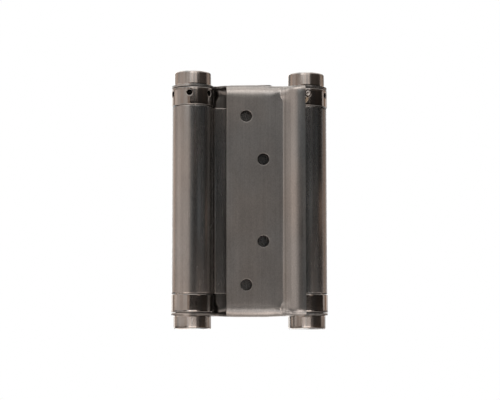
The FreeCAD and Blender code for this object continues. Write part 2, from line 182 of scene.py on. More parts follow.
# ------------------------------------------------------------------ materials
def satin(name, base=0.50, rough=0.33, aniso=0.55, burnished=None, tint=PLATED, grain=1.0, metal=1.0, relief=0.12):
    """Satin plated sheet, brushed along its height. Where the press has folded or rolled
    the sheet (beyond 14.5 mm from the middle, and near both ends) it is burnished smoother."""
    m = Nodes(name)
    fine = m.noise(m.mapped((1500.0, 1500.0, 14.0)), 1.0, 3.0, 0.65)
    wide = m.noise(m.mapped((330.0, 330.0, 7.0)), 1.0, 2.0, 0.5)
    cloud = m.noise(m.mapped((120.0, 120.0, 60.0)), 1.0, 3.0, 0.6)
    large = m.noise(m.mapped((45.0, 45.0, 28.0)), 1.0, 2.0, 0.5)
    speck = m.noise(m.mapped((2100.0, 2100.0, 1500.0)), 1.0, 2.0, 0.6)
    mix = m.math("ADD", m.math("MULTIPLY", fine, 0.34 * grain), m.math("MULTIPLY", wide, 0.09 * grain))
    mix = m.math("ADD", mix, m.math("MULTIPLY", cloud, 0.34))
    mix = m.math("ADD", mix, m.math("MULTIPLY", speck, 0.50 * grain))
    mix = m.math("ADD", mix, 0.5 * (0.66 - 0.93 * grain))
    col = m.ramp(mix, [(0.34, grey(base * 0.83, tint)), (0.66, grey(base * 1.17, tint))])
    cool = m.ramp(large, [(0.40, (1.02, 1.0, 0.985)), (0.60, (0.975, 1.0, 1.02))])
    mul = m.add("ShaderNodeMix", data_type="RGBA", blend_type="MULTIPLY")
    mul.inputs[0].default_value = 1.0
    m.link(col, mul.inputs[6])
    m.link(cool, mul.inputs[7])
    # painted shade: a darker copy of the colour is mixed in down in the bend; without a bend mask the colour stays as
    # it is
    crease_shade_mix = m.add("ShaderNodeMix", data_type="RGBA", blend_type="MIX")
    crease_shade_mix.inputs[0].default_value = 1.0
    crease_shade_fac = crease_shade_mix.inputs[0]
    dark = m.add("ShaderNodeMix", data_type="RGBA", blend_type="MULTIPLY")
    dark.inputs[0].default_value = 1.0
    dark.inputs[7].default_value = (0.84, 0.83, 0.82, 1.0)
    m.link(mul.outputs[2], dark.inputs[6])
    m.link(dark.outputs[2], crease_shade_mix.inputs[6])
    m.link(mul.outputs[2], crease_shade_mix.inputs[7])
    m.link(crease_shade_mix.outputs[2], m.bsdf.inputs["Base Color"])
    r = m.math("ADD", m.math("MULTIPLY", fine, 0.10), m.math("MULTIPLY", cloud, 0.06))
    r = m.math("ADD", r, rough - 0.08)
    if burnished is not None:
        tc = m.add("ShaderNodeTexCoord")
        sep = m.add("ShaderNodeSeparateXYZ")
        m.link(tc.outputs["Object"], sep.inputs[0])

        def ramp_at(value, lo, hi):
            n = m.add("ShaderNodeMapRange", interpolation_type="SMOOTHSTEP")
            n.inputs["From Min"].default_value = lo
            n.inputs["From Max"].default_value = hi
            m.link(value, n.inputs["Value"])
            return n.outputs[0]

        side = ramp_at(m.math("ABSOLUTE", sep.outputs[0]), 0.0139, 0.0152)
        ends = ramp_at(m.math("ABSOLUTE", m.math("SUBTRACT", sep.outputs[2], 0.0561)), 0.0440, 0.0485)
        where = m.math("MAXIMUM", side, ends)
        r = m.math("SUBTRACT", r, m.math("MULTIPLY", where, rough - burnished))
        # painted shade: the colour darkens to 0.84 down in the bend, where the crease falls in shade
        away = m.math("ABSOLUTE", m.math("SUBTRACT", m.math("ABSOLUTE", sep.outputs[0]), 0.0152))
        m.link(m.math("ADD", ramp_at(away, 0.0, 0.0005), 0.0), crease_shade_fac)
    m.link(r, m.bsdf.inputs["Roughness"])
    m.bsdf.inputs["Metallic"].default_value = metal
    m.bsdf.inputs["Anisotropic"].default_value = aniso
    bump = m.add("ShaderNodeBump")
    bump.inputs["Strength"].default_value = relief
    bump.inputs["Distance"].default_value = 0.00004
    m.link(m.math("ADD", fine, m.math("MULTIPLY", wide, 0.3)), bump.inputs["Height"])
    m.link(bump.outputs[0], m.bsdf.inputs["Normal"])
    tan = m.add("ShaderNodeTangent", direction_type="RADIAL", axis="Z")
    m.link(tan.outputs[0], m.bsdf.inputs["Tangent"])
    return m.mat


def polished(name, base=0.58, rough=0.06, bump_mm=0.004, speckle=0.25, painted_glint=None):
    """Bright plated turned steel with faint turning and plating unevenness. The last argument, when given, is the
    middle of a small pale gold patch painted on the front below the pin: a painted reflection of the pin."""
    m = Nodes(name)
    rings = m.noise(m.mapped((40.0, 40.0, 2600.0)), 1.0, 2.0, 0.5)
    cloud = m.noise(m.mapped((150.0, 150.0, 150.0)), 1.0, 3.0, 0.6)
    spots = m.noise(m.mapped((1500.0, 1500.0, 1100.0)), 1.0, 2.0, 0.6)
    col = m.ramp(cloud, [(0.35, grey(base * 0.94, PLATED)), (0.65, grey(base * 1.04, PLATED))])
    r = m.math("ADD", m.math("MULTIPLY", cloud, 0.05), m.math("MULTIPLY", rings, 0.04))
    r = m.math("ADD", r, rough - 0.03)
    m.bsdf.inputs["Metallic"].default_value = 1.0
    # painted reflection: a small pale gold patch on the front below the pin, rougher and less metallic, stands in for
    # the pin's warm reflection
    if painted_glint is not None:
        tc = m.add("ShaderNodeTexCoord")
        sep = m.add("ShaderNodeSeparateXYZ")
        m.link(tc.outputs["Object"], sep.inputs[0])
        down = m.math("SUBTRACT", sep.outputs[2], painted_glint[2])
        across = m.math("SUBTRACT", m.math("SUBTRACT", sep.outputs[0], painted_glint[0]), m.math("MULTIPLY", down, 0.30))
        away = m.math("ADD", m.math("POWER", m.math("DIVIDE", across, 0.00065), 2.0), m.math("POWER", m.math("DIVIDE", down, 0.00135), 2.0))
        away = m.math("ADD", away, m.math("MULTIPLY", m.math("SUBTRACT", spots, 0.5), 1.6))
        glint_mask = m.add("ShaderNodeMapRange", interpolation_type="SMOOTHSTEP")
        glint_mask.inputs["From Min"].default_value = 1.25
        glint_mask.inputs["From Max"].default_value = 0.35
        m.link(away, glint_mask.inputs["Value"])
        front = m.math("LESS_THAN", sep.outputs[1], -0.005)
        here = m.math("MULTIPLY", glint_mask.outputs[0], front)
        glint_colour = m.add("ShaderNodeMix", data_type="RGBA", blend_type="MIX")
        glint_colour.inputs[7].default_value = (0.62, 0.50, 0.36, 1.0)
        m.link(here, glint_colour.inputs[0])
        m.link(col, glint_colour.inputs[6])
        col = glint_colour.outputs[2]
        r = m.math("ADD", r, m.math("MULTIPLY", here, 0.45))
        m.link(m.math("SUBTRACT", 1.0, m.math("MULTIPLY", here, 0.75)), m.bsdf.inputs["Metallic"])
    m.link(col, m.bsdf.inputs["Base Color"])
    m.link(r, m.bsdf.inputs["Roughness"])
    bump = m.add("ShaderNodeBump")
    bump.inputs["Strength"].default_value = 0.5
    bump.inputs["Distance"].default_value = bump_mm * MM
    h = m.math("ADD", m.math("MULTIPLY", cloud, 0.7), m.math("MULTIPLY", spots, speckle))
    m.link(m.math("ADD", h, m.math("MULTIPLY", rings, 0.15)), bump.inputs["Height"])
    m.link(bump.outputs[0], m.bsdf.inputs["Normal"])
    return m.mat


def steel(name, base, rough, tint=PLATED):
    m = Nodes(name)
    cloud = m.noise(m.mapped((300.0, 300.0, 300.0)), 1.0, 3.0, 0.6)
    fine = m.noise(m.mapped((2500.0, 2500.0, 2500.0)), 1.0, 2.0, 0.5)
    col = m.ramp(cloud, [(0.3, grey(base * 0.85, tint)), (0.7, grey(base * 1.1, tint))])
    m.link(col, m.bsdf.inputs["Base Color"])
    m.link(m.math("ADD", m.math("MULTIPLY", fine, 0.16), rough - 0.08), m.bsdf.inputs["Roughness"])
    m.bsdf.inputs["Metallic"].default_value = 1.0
    bump = m.add("ShaderNodeBump")
    bump.inputs["Strength"].default_value = 0.2
    bump.inputs["Distance"].default_value = 0.00002
    m.link(fine, bump.inputs["Height"])
    m.link(bump.outputs[0], m.bsdf.inputs["Normal"])
    return m.mat


SATIN = satin("satin_sheet", 0.52, 0.42, 0.45, burnished=0.30, metal=0.96)
# painted shade: the sheets' inner faces get a darker copy of the satin (0.32 against 0.52), standing in for the shade
# between the leaves and the web
SHADED_INSIDE = satin("satin_inside_painted_shade", 0.32, 0.36, 0.30)
TUBE = satin("satin_tube", 0.45, 0.26, 0.50, grain=0.5, metal=0.96, relief=0.05)
POLISHED = polished("polished_steel", 0.58, 0.15)
RING = polished("ring_steel", 0.49, 0.09, 0.014, speckle=0.6)
# painted reflection: the right collar's copy of the ring finish, with a pale gold patch below its pin
RING_PAINTED_GLINT = polished("ring_steel_painted_glint", 0.49, 0.09, 0.014, speckle=0.6, painted_glint=(0.02425, -0.0093, 0.0999))
PIN = polished("pin_steel", 0.62, 0.12)
# painted shade: near-black, for the deep walls and floors of the collar holes
BORE_SHADE = steel("bore_painted_shade", 0.05, 0.6)
PINTLE = steel("pintle_steel", 0.45, 0.25)
WASHER = steel("washer_steel", 0.30, 0.40)
SPRING = steel("spring_steel", 0.20, 0.30)


# ------------------------------------------------------------------ leaves
TOUCH = 270.0 - RAMP
INNER_R = 7.0
NECK_R = 3.5
EAR_R = 9.15
NECK_LIFT = NECK_R - TRIM
NECK_SPAN = math.sqrt((EAR_R + NECK_R) ** 2 - NECK_LIFT**2)
NECK_X = AXIS - NECK_SPAN
MEET = (AXIS - NECK_SPAN * EAR_R / (EAR_R + NECK_R), NECK_LIFT * EAR_R / (EAR_R + NECK_R))
PATCH_X = 9.6  # right end of the flat patch that holds the screw holes
PATCH_LOW, PATCH_HIGH = 16.0, 96.2
HOLES = [(-1.8, 93.0), (5.7, 74.05), (5.7, 38.15), (-1.8, 19.2)]
HOLE_R = 2.55
VISUAL_SHEET = 0.85


def fold_rows(depth, height, theta_max, count):
    """Rows (inward, up) of a fold whose tilt grows from 0 to theta_max, slowly first, so
    that it goes depth inwards over height upwards."""
    steps = 300
    t = (np.arange(steps) + 0.5) / steps
    lo, hi = 0.4, 6.0
    for _ in range(40):
        p = 0.5 * (lo + hi)
        th = theta_max * t**p
        if np.cos(th).sum() / np.sin(th).sum() < height / depth:
            lo = p
        else:
            hi = p
    th = theta_max * t**p
    d = np.concatenate([[0], np.cumsum(np.sin(th))])
    u = np.concatenate([[0], np.cumsum(np.cos(th))])
    size = depth / d[-1]
    # rows at even steps of tilt, mixed with even steps of length
    mark = 0.6 * np.concatenate([[0], t]) ** p + 0.4 * np.linspace(0, 1, steps + 1)
    want = np.linspace(0, mark[-1], count + 1)
    at = np.interp(want, mark, np.arange(steps + 1))
    return np.interp(at, np.arange(steps + 1), d) * size, np.interp(at, np.arange(steps + 1), u) * size


def bend_line():
    """Plan line from the flat to the wrap: a slight lean that grows towards a crisp bend,
    then a straight run onto the wrap. Gives rows of x, y, tilt and running measure."""
    steep = math.radians(RAMP)
    t = (np.arange(400) + 0.5) / 400

    def lean(k):
        return steep * (0.14 * k + 0.86 * smooth((k - 0.66) / 0.34))

    phi = np.array([lean(k) for k in t])
    goal = (AXIS + WRAP * math.cos(math.radians(TOUCH)) - BEND_X, -WRAP * math.sin(math.radians(TOUCH)) - FACE)
    curved, straight = np.linalg.solve([[np.cos(phi).mean(), math.cos(steep)], [np.sin(phi).mean(), math.sin(steep)]], goal)
    t = np.linspace(0, 1, 401)
    xs = BEND_X + curved * np.concatenate([[0], np.cumsum(np.cos(phi))]) / 400
    ys = -FACE - curved * np.concatenate([[0], np.cumsum(np.sin(phi))]) / 400
    rows = []
    marks = sorted([np.interp(NECK_X, xs, t)] + [0.12, 0.42, 0.54, 0.62] + list(np.linspace(0.68, 1.0, 13)))
    for k in marks:
        x = float(np.interp(k, t, xs))
        rows.append((x, float(np.interp(k, t, ys)), lean(k), BEND_X + (14.6 - BEND_X) * (x - BEND_X) / (xs[-1] - BEND_X)))
    for k in (0.25, 0.5, 0.75):
        rows.append((float(xs[-1]) + k * straight * math.cos(steep), float(ys[-1]) - k * straight * math.sin(steep), steep, 14.6 + 1.4 * k))
    return rows


def leaf_stations(wrap_end):
    """Plan stations on the outer skin: x, y, inward x, inward y, and a running measure
    (x on the flat, 14.6 to 16 up to the wrap, 20 + degrees of wrap beyond)."""
    rows = []
    xs = sorted(set([round(-EDGE + 0.4 * e, 4) for e in (0, 0.25, 0.5, 0.75)] + [round(v, 4) for v in np.linspace(-EDGE + 0.4, PATCH_X, 56)]))
    xs += [round(v, 4) for v in np.linspace(PATCH_X, BEND_X, 7)[1:]]
    for x in xs:
        rows.append((x, -FACE, 0.0, 1.0, x))
    for x, y, tilt, m in bend_line():
        rows.append((x, y, math.sin(tilt), math.cos(tilt), m))
    steps = 56
    for i in range(steps + 1):
        deg = TOUCH + (wrap_end - TOUCH) * i / steps
        a = math.radians(deg)
        rows.append((AXIS + WRAP * math.cos(a), WRAP * math.sin(a), -math.cos(a), -math.sin(a), 20.0 + deg))
    return rows


def inside(poly, x, y):
    hit = False
    j = len(poly) - 1
    for i in range(len(poly)):
        xi, yi = poly[i]
        xj, yj = poly[j]
        if (yi > y) != (yj > y) and x < (xj - xi) * (y - yi) / (yj - yi) + xi:
            hit = not hit
        j = i
    return hit


def far_enough(line, x, y, gap):
    g2 = gap * gap
    return all((px - x) ** 2 + (py - y) ** 2 > g2 for px, py in line)


def triangulate(points, loops, keep):
    """Constrained triangulation. loops are lists of indices into points."""
    edges = []
    for loop in loops:
        edges += [(loop[i], loop[(i + 1) % len(loop)]) for i in range(len(loop))]
    out = delaunay_2d_cdt([Vector(p) for p in points], edges, [], 0, 1e-7)
    vs = [(v.x, v.y) for v in out[0]]
    tris = []
    for f in out[2]:
        cx = sum(vs[i][0] for i in f) / len(f)
        cy = sum(vs[i][1] for i in f) / len(f)
        if keep(cx, cy):
            tris.append(tuple(f))
    return vs, tris


def leaf_skin(wrap_end, ends, bow):
    """Vertices and faces of a leaf's outer skin. ends gives, for the upper and the lower
    end, tables over the running measure: crest height above the ear plane, how far below
    the crest the fold begins, and how far in from the face the crest lies."""
    st = leaf_stations(wrap_end)
    n = len(st)
    meas = [s[4] for s in st]
    verts, faces = [], []
    i_patch = next(i for i, s in enumerate(st) if abs(s[0] - PATCH_X) < 1e-6)
    i_neck = next(i for i, s in enumerate(st) if abs(s[0] - NECK_X) < 2e-4)
    z_rows = list(np.linspace(PATCH_LOW, PATCH_HIGH, 42))

    def skin_point(i, d, z):
        x, y, ix, iy, m = st[i]
        sink = bow(m, z)
        # towards each end the bend swings in, which rounds the flat's corners
        off = min(EAR_TOP - z, z - EAR_LOW)
        swing = 1.7 * smooth((6.6 - off) / 3.4) * table([(9.0, 0.0), (13.0, 1.0), (14.6, 0.8), (16.0, 0.0)], m) * max(0.0, 1.0 - d / 2.6)
        return (x - swing + ix * (d + sink), y + iy * (d + sink), z)

    def depth_end(m, x):
        if m < 14.55:
            e = x + EDGE
            rc = 2.2
            cut = 0.0 if e >= rc else rc - math.sqrt(rc * rc - (rc - e) ** 2)
            return FACE - TRIM - 0.95 * cut
        if m <= 16.0:
            return (FACE - TRIM) + (WRAP - INNER_R - FACE + TRIM) * (m - 14.6) / 1.4
        return WRAP - INNER_R

    grids = {}
    N1, N2, N3 = 24, 6, 3
    for sign, plane in ((1, EAR_TOP), (-1, EAR_LOW)):
        crest_t, begin_t, reach_t, tilt_t = ends[sign]
        grid = []
        for i in range(n):
            m = meas[i]
            d_end = depth_end(m, st[i][0])
            crest = table(crest_t, m)
            begin = table(begin_t, m)
            tilt = math.radians(table(tilt_t, m))
            d1 = min(table(reach_t, m), d_end - 0.12)
            d, u = fold_rows(d1, begin, tilt, N1)
            if d_end < FACE - TRIM - 0.01 and m < 0:
                # rounded corner of the lip: the same fold, cut off earlier
                full = min(table(reach_t, m), FACE - TRIM - 0.12)
                d, u = fold_rows(full, begin, tilt, 200)
                stop = np.interp(d1, d, u)
                want = np.linspace(0, 1, N1 + 1) ** 0.9 * stop
                d, u = np.interp(want, u, d), want
                crest = crest - (begin - stop)
                end_slope = (np.interp(d1, d, u) - np.interp(d1 - 0.05, d, u)) / 0.05
            else:
                end_slope = 1.0 / math.tan(tilt) if tilt < math.radians(89.9) else 0.0
            top = plane + sign * crest
            base = top - sign * u[-1]
            column = [(0.0, base)] + [(float(a), base + sign * float(b)) for a, b in zip(d[1:], u[1:])]
            # over the crest and down to the ear plane
            d2 = max(min(table([(12.0, d_end - 0.02), (16.5, 2.45), (300.0, 2.45)], m), d_end - 0.02), d1 + 0.06)
            fall = table([(11.0, 0.0), (14.6, 0.75), (16.5, 1.0)], m) * crest
            for k in range(1, N2 + 1):
                t = k / N2
                a = d1 + (d2 - d1) * t
                column.append((a, top + sign * (end_slope * (d2 - d1) * (t - t * t / 2) - fall * smooth(t))))
            last = column[-1][1]
            for k in range(1, N3 + 1):
                t = k / N3
                column.append((d2 + (d_end - d2) * t, last))
            grid.append(column)
        grids[sign] = grid

    index = {}

    def put(p):
        key = (round(p[0], 4), round(p[1], 4), round(p[2], 4))
        if key not in index:
            index[key] = len(verts)
            verts.append(p)
        return index[key]

    # face rows and folds
    for sign in (1, -1):
        start = PATCH_HIGH if sign > 0 else PATCH_LOW
        prev = None
        for i in range(n):
            col = []
            base = grids[sign][i][0][1]
            for k in range(5):
                col.append(put(skin_point(i, 0.0, start + (base - start) * k / 5.0)))
            for d, z in grids[sign][i]:
                col.append(put(skin_point(i, d, z)))
            if prev is not None:
                for a in range(len(col) - 1):
                    quad = (prev[a], prev[a + 1], col[a + 1], col[a])
                    faces.append(quad if sign > 0 else quad[::-1])
            prev = col
        del prev
    prev = None
    for i in range(i_patch, n):
        col = [put(skin_point(i, 0.0, z)) for z in z_rows]
        if prev is not None:
            for a in range(len(col) - 1):
                faces.append((prev[a], prev[a + 1], col[a + 1], col[a]))
        prev = col

    # flat patch with the screw holes
    pts = []
    seen = {}

    def pt(x, z):
        key = (round(x, 4), round(z, 4))
        if key not in seen:
            seen[key] = len(pts)
            pts.append((x, z))
        return seen[key]

    xs = [st[i][0] for i in range(i_patch + 1)]
    rim = [pt(x, PATCH_LOW) for x in xs] + [pt(PATCH_X, z) for z in z_rows[1:]]
    rim += [pt(x, PATCH_HIGH) for x in reversed(xs[:-1])] + [pt(-EDGE, z) for z in reversed(z_rows[1:-1])]
    loops = [rim]
    for hx, hz in HOLES:
        loops.append([pt(hx + HOLE_R * math.cos(a), hz + HOLE_R * math.sin(a)) for a in np.linspace(0, 2 * math.pi, 65)[:-1]])
        for extra, count in ((0.06, 64), (0.12, 64), (0.18, 64), (0.24, 64), (0.32, 60), (0.6, 52), (1.0, 48)):
            if hz + HOLE_R + extra > PATCH_HIGH - 0.03 or hz - HOLE_R - extra < PATCH_LOW + 0.03:
                continue
            for a in np.linspace(0, 2 * math.pi, count + 1)[:-1]:
                pt(hx + (HOLE_R + extra) * math.cos(a), hz + (HOLE_R + extra) * math.sin(a))
    for x in xs[4:-1:2]:
        for z in z_rows[1:-1]:
            if all((x - hx) ** 2 + (z - hz) ** 2 > (HOLE_R + 1.3) ** 2 for hx, hz in HOLES):
                pt(x, z)
    vs, tris = triangulate(
        pts,
        loops,
        lambda x, z: all((x - hx) ** 2 + (z - hz) ** 2 > (HOLE_R - 0.003) ** 2 for hx, hz in HOLES)
        and -EDGE < x < PATCH_X
        and PATCH_LOW < z < PATCH_HIGH,
    )
    def rim_sink(x, z):
        e = min(math.hypot(x - hx, z - hz) for hx, hz in HOLES) - HOLE_R
        t = max(0.0, 1.0 - e / 0.26)
        return 0.30 * (1.0 - math.sqrt(max(0.0, 1.0 - t * t)))

    ids = [put((x, -FACE + bow(x, z) + rim_sink(x, z), z)) for x, z in vs]
    for a, b, c in tris:
        faces.append((ids[a], ids[b], ids[c]))

    # ear discs beyond the folds
    for sign, plane in ((1, EAR_TOP), (-1, EAR_LOW)):
        grid = grids[sign]
        inner = []
        for i in range(i_neck, n):
            d, z = grid[i][-1]
            inner.append(skin_point(i, d, z))
        end = [skin_point(n - 1, d, z) for d, z in reversed(grid[n - 1][:-1])]
        spoke = []
        for p in end:
            spoke.append(p)
            if math.hypot(p[0] - AXIS, p[1]) >= EAR_R - 0.03:
                break
        first = spoke[-1]
        r0 = math.hypot(first[0] - AXIS, first[1])
        a0 = math.degrees(math.atan2(first[1], first[0] - AXIS)) % 360.0
        a1 = 360.0 + math.degrees(math.atan2(MEET[1], MEET[0] - AXIS))
        disc = []
        steps = 150
        for k in range(1, steps + 1):
            a = a0 + (a1 - a0) * k / steps
            r = EAR_R + (r0 - EAR_R) * (1 - smooth((a - a0) / 5.0))
            disc.append((AXIS + r * math.cos(math.radians(a)), r * math.sin(math.radians(a))))
        neck = []
        b0 = math.atan2(MEET[1] - NECK_LIFT, MEET[0] - NECK_X)
        b1 = -math.pi / 2
        for k in range(1, 14):
            b = b0 + (b1 - b0) * k / 14
            neck.append((NECK_X + NECK_R * math.cos(b), NECK_LIFT + NECK_R * math.sin(b)))
        known = {}
        pts = []
        for p in inner + spoke:
            known[len(pts)] = p
            pts.append((p[0], p[1]))
        pts += disc + neck
        outer_loop = list(range(len(pts)))
        border = list(pts)
        hole = []
        for a in np.linspace(0, 2 * math.pi, 73)[:-1]:
            hole.append(len(pts))
            pts.append((AXIS + 3.05 * math.cos(a), 3.05 * math.sin(a)))
        for r, count in ((3.6, 60), (4.6, 60), (5.6, 64), (6.4, 84), (7.0, 96), (7.5, 110), (7.9, 120), (8.2, 130), (8.45, 140), (8.7, 150), (8.95, 150)):
            for a in np.linspace(0, 2 * math.pi, count + 1)[:-1]:
                x, y = AXIS + r * math.cos(a), r * math.sin(a)
                if inside(border, x, y) and far_enough(border, x, y, 0.13):
                    pts.append((x, y))
        for x in np.arange(12.0, 19.0, 0.3):
            for y in np.arange(-2.0, 4.0, 0.3):
                if math.hypot(x - AXIS, y) > 9.25 and inside(border, x, y) and far_enough(border, x, y, 0.15):
                    pts.append((float(x), float(y)))
        vs, tris = triangulate(
            pts,
            [outer_loop, hole],
            lambda x, y: inside(border, x, y) and math.hypot(x - AXIS, y) > 3.04,
        )
        # heights: the fold's own at the shared edge, the ear plane under the cap
        count = len(vs)
        height = np.zeros(count)
        locked = np.zeros(count, bool)
        for j, (x, y) in enumerate(vs):
            hit = next((p for p in known.values() if abs(p[0] - x) < 1e-5 and abs(p[1] - y) < 1e-5), None)
            if hit is not None:
                height[j] = (hit[2] - plane) * sign
                locked[j] = True
            elif math.hypot(x - AXIS, y) < 8.35:
                locked[j] = True
        near = [set() for _ in range(count)]
        for t in tris:
            for a in t:
                near[a].update(b for b in t if b != a)
        near = [list(s) for s in near]
        for _ in range(120):
            for j in range(count):
                if not locked[j] and near[j]:
                    height[j] = sum(height[b] for b in near[j]) / len(near[j])
        ids = []
        for j, (x, y) in enumerate(vs):
            hit = next((p for p in known.values() if abs(p[0] - x) < 1e-5 and abs(p[1] - y) < 1e-5), None)
            ids.append(put(hit) if hit is not None else put((x, y, plane + sign * height[j])))
        for t in tris:
            tri = tuple(ids[a] for a in t)
            faces.append(tri if sign > 0 else tri[::-1])
    return verts, faces


def leaf_object(name, node, body, wrap_end, ends, bow, turned):
    verts, faces = leaf_skin(wrap_end, ends, bow)
    if turned:
        verts = [(-x, -y, z) for x, y, z in verts]
    obj = new_object(name, verts, faces)
    bm = bmesh.new()
    bm.from_mesh(obj.data)
    bmesh.ops.remove_doubles(bm, verts=bm.verts, dist=2e-6)
    bmesh.ops.recalc_face_normals(bm, faces=bm.faces)
    side = 1.0 if turned else -1.0
    test = max(bm.faces, key=lambda f: f.calc_area() if abs(f.calc_center_median().y - side * FACE * MM) < 1e-5 else 0.0)
    if test.normal.y * side < 0:
        bmesh.ops.reverse_faces(bm, faces=bm.faces)
    bm.to_mesh(obj.data)
    bm.free()
    thick = obj.modifiers.new("sheet", "SOLIDIFY")
    thick.thickness = VISUAL_SHEET * MM
    thick.offset = -1.0
    thick.use_even_offset = True
    thick.use_quality_normals = True
    # the inner faces take the second material, the darker painted-shade copy of the satin
    thick.material_offset = 1
    obj.data.materials.append(SATIN)
    obj.data.materials.append(SHADED_INSIDE)
    edge = obj.modifiers.new("edges", "BEVEL")
    edge.width = 0.09 * MM
    edge.segments = 2
    edge.limit_method = "ANGLE"
    edge.angle_limit = math.radians(50)
    edge.harden_normals = False
    apply_all(obj)
    shade(obj, 40)
    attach(obj, body)
    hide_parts(node)
    return obj


# running measure: x on the flat, 14.6 to 16 across the crease, 20 + degrees on the wrap
CREST = [(-10.4, 0.75), (-7.5, 0.95), (-2.0, 1.05), (5.0, 1.05), (10.0, 0.85), (13.5, 0.75), (14.6, 0.62), (16.0, 0.50), (232.0, 0.42), (255.0, 0.22), (275.0, 0.10), (281.5, 0.06)]
BEGIN = [(-10.4, 5.6), (-6.0, 7.0), (1.0, 8.4), (7.0, 7.2), (12.0, 5.0), (13.4, 5.0), (14.6, 5.6), (16.0, 5.4), (242.0, 4.2), (281.5, 3.6)]
REACH = [(-10.4, 3.68), (11.0, 3.68), (14.6, 2.9), (16.0, 2.2), (230.0, 1.75), (281.5, 1.7)]
TILT = [(-10.4, 80.0), (11.0, 80.0), (14.6, 88.0), (16.0, 90.0), (300.0, 90.0)]
LOW_CREST = [(-10.4, 0.55), (-7.5, 0.70), (-2.0, 0.75), (6.0, 0.75), (11.0, 0.60), (14.6, 0.45), (16.0, 0.32), (232.0, 0.25), (255.0, 0.14), (281.5, 0.05)]
REAR_CREST = [(-10.4, 1.45), (-7.5, 1.45), (-2.0, 1.25), (5.0, 1.10), (10.0, 0.85), (13.5, 0.70), (14.6, 0.62), (16.0, 0.50), (232.0, 0.40), (255.0, 0.20), (270.6, 0.06)]


def flat_bow(m, z):
    return 0.0


leaf_object("door_leaf_sheet", "door_leaf", "door_side", 261.5, {1: (CREST, BEGIN, REACH, TILT), -1: (LOW_CREST, BEGIN, REACH, TILT)}, flat_bow, False)
leaf_object("frame_leaf_sheet", "frame_leaf", "frame_side", 250.6, {1: (REAR_CREST, BEGIN, REACH, TILT), -1: (LOW_CREST, BEGIN, REACH, TILT)}, flat_bow, True)


# ------------------------------------------------------------------ web and tubes
TUBE_R, TUBE_IN, WEB_BEND, WEB_T = 9.0, 8.0, 1.6, 1.0
WEB_LOW, WEB_HIGH = 15.35, 96.85
SEAM = 3.0


def arc(cx, cy, r, a0, a1, count):
    return [
        (cx + r * math.cos(math.radians(a0 + (a1 - a0) * i / count)), cy + r * math.sin(math.radians(a0 + (a1 - a0) * i / count)))
        for i in range(count + 1)
    ]


def web_outline():
    """The sheet's closed outline in plan, from the left barrel, then turned half round."""
    half = WEB_T / 2
    reach, drop = TUBE_R + WEB_BEND, half + WEB_BEND
    run = math.sqrt(reach * reach - drop * drop)
    touch = math.degrees(math.atan2(-drop, run))
    bend = (run, -drop)
    pts = []
    pts += arc(bend[0], bend[1], WEB_BEND, 90.0, 180.0 + touch, 10)
    pts += arc(0, 0, TUBE_R, touch, -360.0 + SEAM, 150)[1:]
    pts += [((TUBE_R + (TUBE_IN - TUBE_R) * k) * math.cos(math.radians(SEAM)), (TUBE_R + (TUBE_IN - TUBE_R) * k) * math.sin(math.radians(SEAM))) for k in (0.5,)]
    pts += arc(0, 0, TUBE_IN, -360.0 + SEAM, touch, 140)
    pts += arc(bend[0], bend[1], WEB_BEND + WEB_T, 180.0 + touch, 90.0, 12)[1:]
    left = [(x - AXIS, y) for x, y in pts]
    left_start = left[0]
    right = [(-x, -y) for x, y in left]
    # straight runs between the two barrels
    out = list(left)
    a, b = left[-1], right[0]
    out += [(a[0] + (b[0] - a[0]) * k / 12, a[1] + (b[1] - a[1]) * k / 12) for k in range(1, 12)]
    out += right
    a, b = right[-1], left_start
    out += [(a[0] + (b[0] - a[0]) * k / 12, a[1] + (b[1] - a[1]) * k / 12) for k in range(1, 12)]
    return out


def build_web():
    ring = web_outline()
    n = len(ring)
    levels = [WEB_LOW] + list(np.linspace(WEB_LOW + 0.6, WEB_HIGH - 0.6, 24)) + [WEB_HIGH]
    verts = [(x, y, z) for z in levels for x, y in ring]
    faces = []
    for k in range(len(levels) - 1):
        for i in range(n):
            j = (i + 1) % n
            faces.append((k * n + i, k * n + j, (k + 1) * n + j, (k + 1) * n + i))
    out = delaunay_2d_cdt([Vector(p) for p in ring], [(i, (i + 1) % n) for i in range(n)], [], 0, 1e-7)
    ends = [tuple(f) for f in out[2] if inside(ring, sum(out[0][i].x for i in f) / 3, sum(out[0][i].y for i in f) / 3)]
    top = (len(levels) - 1) * n
    for a, b, c in ends:
        faces.append((a, b, c))
        faces.append((top + a, top + b, top + c))
    obj = new_object("web_sheet", verts, faces)
    bm = bmesh.new()
    bm.from_mesh(obj.data)
    bmesh.ops.recalc_face_normals(bm, faces=bm.faces)
    bm.to_mesh(obj.data)
    bm.free()
    edge = obj.modifiers.new("edges", "BEVEL")
    edge.width = 0.12 * MM
    edge.segments = 2
    edge.limit_method = "ANGLE"
    edge.angle_limit = math.radians(50)
    apply_all(obj)
    shade(obj, 40)
    obj.data.materials.append(TUBE)
    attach(obj, "centre")
    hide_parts("centre_web")


build_web()


